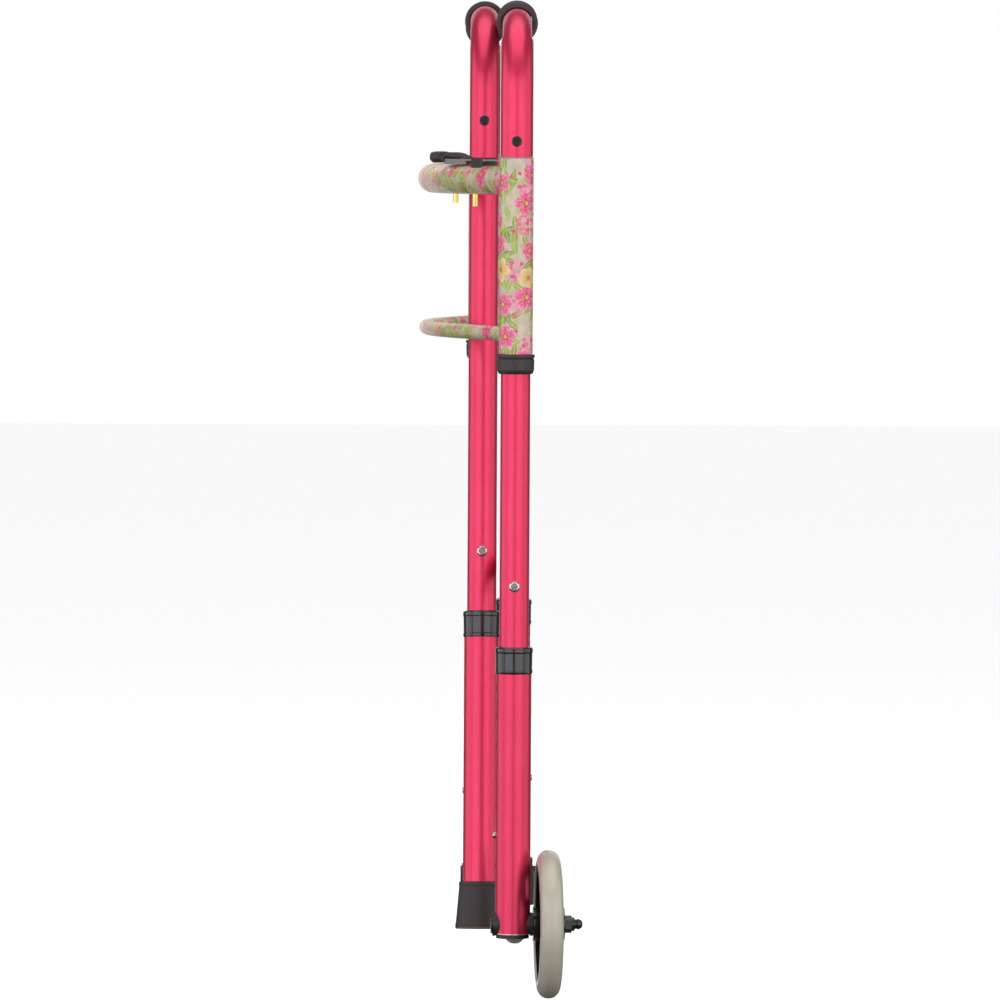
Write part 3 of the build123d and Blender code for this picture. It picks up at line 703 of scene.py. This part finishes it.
def makeTyre(side):
    # outline: across = halfWidth * sin t to the power shoulder, out = rim + rise * cos t to the power crown,
    # and a fine mould seam pressed in on each side
    t = np.linspace(-math.pi / 2, math.pi / 2, 72)
    rise = tyre["outer"] - tyre["rimRadius"] - tyre["rimGap"]
    out = tyre["rimRadius"] + tyre["rimGap"] + rise * np.clip(np.cos(t), 0, 1) ** tyre["crown"]
    across = tyre["halfWidth"] * np.sign(np.sin(t)) * np.abs(np.sin(t)) ** tyre["shoulder"]
    out -= tyre["seamDepth"] * np.exp(-((np.abs(across) - tyre["seamAt"]) / tyre["seamWidth"]) ** 2)
    bead = np.array([(tyre["rimRadius"] + 0.00002, tyre["halfWidth"] - 0.0012),
                     (tyre["rimRadius"] + 0.00002, -tyre["halfWidth"] + 0.0012)])
    outline = np.concatenate([np.stack([out, across], 1), bead])
    grid = turnedGrid(outline, middle(f"{side}_tyre"), wheelDir, 180)
    return gridPiece(f"{side}Tyre", grid, f"{side}_wheel", [f"{side}_tyre"], finishes["tyre"])


axleCap = {"radius": 0.0046, "bore": 0.00402, "ballBase": 0.0028}


def makeAxleCap(side):
    # rounded cover over the axle's end, with a waist near its rim
    low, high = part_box(f"{side}_axle_cap")
    deep, wide = high.y - low.y, axleCap["radius"]
    t = np.linspace(math.pi / 2, 0, 14)
    ballBase = axleCap["ballBase"]
    ball = np.stack([wide * np.sin(t) ** 0.9, ballBase + (deep - ballBase) * np.cos(t)], 1)
    skirt = np.array([(axleCap["bore"], 0), (wide, 0), (wide, 0.0007), (wide - 0.0008, 0.0014),
                      (wide - 0.0006, 0.0022)])
    inner = np.array([(0, 0.0014), (axleCap["bore"], 0.0014)])
    outline = np.concatenate([skirt, ball, inner])
    start = np.array(((low.x + high.x) / 2, low.y, (low.z + high.z) / 2))
    grid = turnedGrid(outline, start, wheelDir, 48)
    return gridPiece(f"{side}AxleCap", grid, f"{side}_front_leg", [f"{side}_axle_cap"],
                     finishes["glossBlack"])


paddle = {"length": 0.053, "headHalf": 0.0077, "neckHalf": 0.0052, "neckRise": 0.0010, "rise": 0.0054,
          "drop": 0.0041, "step": 0.805, "crest": 0.68, "endLevel": 0.0005, "squareness": 0.62}


def makePaddle(side):
    # s runs from neck to head; top and bottom are curves of s, and each cross section is a rounded oblong
    # between them: across = half * sin a, up = middle + tall / 2 * cos a, both to the power squareness
    low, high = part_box(f"{side}_latch_paddle")
    along = alongBar[side]
    across = np.cross(upright, along)
    start = middle(f"{side}_latch_paddle") - along * paddle["length"] / 2
    start[2] = high.z - paddle["rise"] - 0.0001
    step, crest, level = paddle["step"], paddle["crest"], paddle["endLevel"]
    s = np.concatenate([np.linspace(0, step, 40), np.linspace(step + 0.008, 1, 34)])[:, None]
    a = np.linspace(0, 2 * math.pi, 40, endpoint=False)[None, :]

    def quarter(t):  # 1 at t = 0 and 0 at t = 1, along a quarter circle
        return np.sqrt(1 - np.clip(t, 0, 1) ** 2)

    climb = np.sin(np.clip(s / crest, 0, 1) * math.pi / 2) ** 1.6
    top = paddle["neckRise"] + (paddle["rise"] - paddle["neckRise"]) * climb
    top = np.where(s > crest, level + (paddle["rise"] - level) * quarter((s - crest) / (1 - crest)), top)
    bottom = np.where(s > step, level - (paddle["drop"] + level) * quarter((s - 0.92) / 0.08), 0.0)
    opening = quarter((0.06 - s) / 0.06)
    swell = 1 / (1 + np.exp(-(s - 0.42) * 14))
    widest = paddle["neckHalf"] + (paddle["headHalf"] - paddle["neckHalf"]) * swell
    half = widest * quarter((s - 0.8) / 0.2) * opening
    centre, tall = (top + bottom) / 2 * opening, (top - bottom) * opening
    x = half * np.sign(np.sin(a)) * np.abs(np.sin(a)) ** paddle["squareness"]
    z = centre + tall / 2 * np.sign(np.cos(a)) * np.abs(np.cos(a)) ** paddle["squareness"]
    reach = s * paddle["length"] + 0 * a
    grid = start + along * reach[..., None] + across * x[..., None] + upright * z[..., None]
    return gridPiece(f"{side}LatchPaddle", grid, f"{side}_latch",
                     [f"{side}_latch_paddle"], finishes["matteBlack"], closedRows=False)


for side in sides:
    makeGrip(side)
    makePivotCollar(side)
    makeRubberTip(side)
    makeTyre(side)
    makeAxleCap(side)
    makePaddle(side)
    for end in ("front", "rear"):
        makeLegCollar(side, end)
print("pieces made")


view = {"lens": 313.4, "distance": 7.433, "rise": 0.320, "turn": 3.233, "roll": 0.0055, "aside": -0.0127,
        "height": 0.427}


def makeCamera():
    turn = math.radians(view["turn"])
    back = np.array((math.cos(turn), -math.sin(turn), 0))
    right = np.array((math.sin(turn), math.cos(turn), 0))
    target = pivotAt["near"] * (1, 1, 0) + right * view["aside"] + upright * view["height"]
    spot = target + back * view["distance"] + upright * view["rise"]
    camera = bpy.data.objects.new("camera", bpy.data.cameras.new("camera"))
    camera.data.lens, camera.data.sensor_width, camera.data.clip_end = view["lens"], 36.0, 60.0
    camera.location = spot
    aim = Vector(target - spot).to_track_quat("-Z", "Y")
    camera.rotation_mode = "QUATERNION"
    camera.rotation_quaternion = aim @ Quaternion((0, 0, 1), view["roll"])
    bpy.context.scene.collection.objects.link(camera)
    bpy.context.scene.camera = camera


aimHeight = 0.45  # the point over the origin that every softbox faces


def addSoftbox(name, azimuth, elevation, distance, size, power, colour=(1, 1, 1)):
    light = bpy.data.lights.new(name, "AREA")
    light.shape, light.size, light.size_y = "RECTANGLE", size[0], size[1]
    light.energy, light.color = power, colour
    lamp = bpy.data.objects.new(name, light)
    a, e = math.radians(azimuth), math.radians(elevation)
    aim = Vector((0, 0, aimHeight))
    towards = Vector((math.cos(a) * math.cos(e), math.sin(a) * math.cos(e), math.sin(e)))
    lamp.location = aim + towards * distance
    lamp.rotation_euler = (aim - lamp.location).to_track_quat("-Z", "Y").to_euler()
    lamp.visible_camera = False
    bpy.context.scene.collection.objects.link(lamp)


softboxes = [  # name, direction it stands in, height angle, distance, size, power, colour if not white
    ("frontLeft", -34, 6, 3.0, (2.9, 2.8), 48, (1.0, 0.95, 1.10)), ("frontRight", 28, 6, 3.0, (2.9, 2.8), 44),
    ("leftSide", -92, 6, 3.0, (3.0, 2.8), 36), ("rightSide", 82, 6, 3.0, (2.6, 2.8), 24),
    ("behind", 177, 8, 3.2, (3.0, 2.6), 22), ("overhead", 0, 86, 2.6, (3.2, 3.2), 48),
]


floorLook = {"glow": 0.9, "light": (0.28, 0.28, 0.28, 1), "dark": (0.26, 0.26, 0.26, 1), "reach": 14.0}


def makeStage():
    # pale floor that glows nearly as bright as the background, so that only a faint edge shows between them
    material, tree, shader = newMaterial("paleStage", Roughness=0.9, Emission_Color=(1, 1, 1, 1),
                                         Emission_Strength=floorLook["glow"])
    place = objectPlace(tree)
    soft = useGroup(tree, mottle, Place=place, **{"Patch size": 0.8})["Patch"]
    faint = sums(tree, "MULTIPLY", soft, 0.2)
    put(tree, shader.inputs["Base Color"], mixed(tree, faint, floorLook["light"], floorLook["dark"]))
    mesh = bpy.data.meshes.new("floor")
    far = floorLook["reach"]
    mesh.from_pydata([(-far, -far, 0), (far, -far, 0), (far, far, 0), (-far, far, 0)], [], [(0, 1, 2, 3)])
    mesh.materials.append(material)
    floor = bpy.data.objects.new("floor", mesh)
    bpy.context.scene.collection.objects.link(floor)
    floor.visible_glossy = floor.visible_diffuse = False


worldLook = {"seen": 0.85, "base": 0.15, "lessInReflections": 0.06}


def makeWorld():
    # pale where it is looked at and dimmer where it is reflected, so that round tubes keep dark edges
    world = bpy.data.worlds.new("studio")
    bpy.context.scene.world = world
    world.use_nodes = True
    tree = world.node_tree
    background = tree.nodes["Background"]
    ray = node(tree, "LightPath")
    added = sums(tree, "MULTIPLY", ray.outputs["Is Camera Ray"], worldLook["seen"])
    dimmed = sums(tree, "MULTIPLY", ray.outputs["Is Glossy Ray"], worldLook["lessInReflections"])
    strength = sums(tree, "SUBTRACT", sums(tree, "ADD", added, worldLook["base"]), dimmed)
    background.inputs["Color"].default_value = (1, 1, 1, 1)
    put(tree, background.inputs["Strength"], strength)


makeCamera()
for box in softboxes:
    addSoftbox(*box)
makeStage()
makeWorld()
bpy.context.scene.view_settings.view_transform = "Standard"
print("camera, light and stage set")
